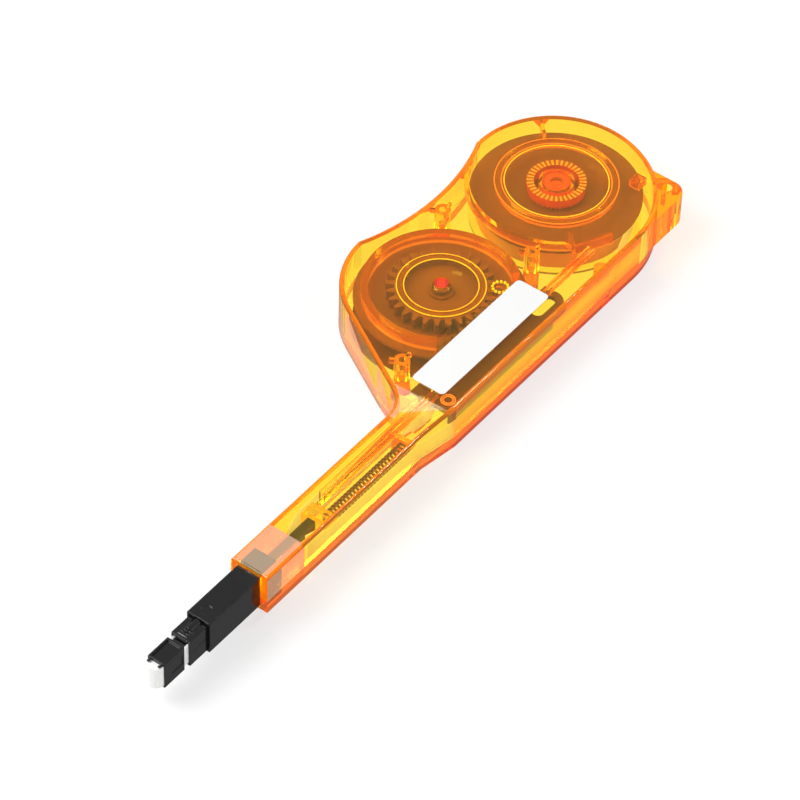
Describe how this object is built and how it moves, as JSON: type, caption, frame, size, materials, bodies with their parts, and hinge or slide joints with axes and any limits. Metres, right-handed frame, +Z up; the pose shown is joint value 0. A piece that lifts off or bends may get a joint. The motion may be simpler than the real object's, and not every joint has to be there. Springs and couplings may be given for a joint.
{
  "type": "fibre connector cleaning pen",
  "caption": "Clear two-shell cleaning pen with a sliding tip that turns a tape cartridge through a rack and gear, for wiping fibre connector end faces.",
  "frame": {"origin": "centre of the bounding box at the level of the lower shell's flat underside", "axes": "+X from the cleaning tip to the lanyard lug, +Y to the side that bulges round the reels, +Z up through the cover"},
  "size_m": [0.2306, 0.0584, 0.017],
  "materials": {
    "clear_case": "clear orange, moulded",
    "label_film": "satin film",
    "spring_steel": "drawn wire",
    "tape": "woven microfibre",
    "black_plastic": "satin",
    "dark_plastic": "satin",
    "pad": "soft"
  },
  "bodies": {
    "case": {"upper_shell": "clear_case", "lower_shell": "clear_case", "label": "label_film", "detent_ring": "clear_case", "clutch_spring": "spring_steel", "tape_feed_run": "tape", "tape_return_run": "tape", "return_spring": "spring_steel"},
    "plunger": {"sleeve_upper": "black_plastic", "sleeve_lower": "black_plastic", "neck": "black_plastic", "push_rod": "clear_case", "rack_slider": "dark_plastic", "spring_carriage": "clear_case", "head_spring": "spring_steel"},
    "head": {"cleaning_head": "black_plastic", "head_pad": "pad", "tape_head_loop": "tape"},
    "gear": {"drive_gear": "dark_plastic"},
    "takeup": {"takeup_reel": "dark_plastic", "takeup_flange": "dark_plastic", "takeup_roll": "tape"},
    "supply": {"supply_reel": "dark_plastic", "supply_flange": "dark_plastic", "supply_roll": "tape"}
  },
  "joints": [
    {"name": "plunger_slide", "type": "slide", "parent": "case", "child": "plunger", "axis": [1, 0, 0], "range_m": [0, 0.012], "stiffness_N_per_m": 250, "springref_m": -0.004, "deforming": ["return_spring"]},
    {"name": "head_float", "type": "slide", "parent": "plunger", "child": "head", "axis": [1, 0, 0], "range_m": [0, 0.0015], "stiffness_N_per_m": 800, "springref_m": -0.001, "deforming": ["head_spring"]},
    {"name": "gear_spin", "type": "hinge", "parent": "case", "child": "gear", "pos_m": [0.03655, 0.0018, 0.0124], "axis": [0, 0, 1], "range_deg": [0, 50]},
    {"name": "takeup_spin", "type": "hinge", "parent": "case", "child": "takeup", "pos_m": [0.03655, 0.0018, 0.006], "axis": [0, 0, 1], "range_deg": [0, 50]},
    {"name": "supply_spin", "type": "hinge", "parent": "case", "child": "supply", "pos_m": [0.08905, 0.0018, 0.006], "axis": [0, 0, 1], "range_deg": [-21, 0]}
  ],
  "couplings": [
    {"joint": "gear_spin", "follows": "plunger_slide", "rad_per_m": 71.429},
    {"joint": "takeup_spin", "follows": "plunger_slide", "rad_per_m": 71.429},
    {"joint": "supply_spin", "follows": "plunger_slide", "rad_per_m": -29.221}
  ]
}
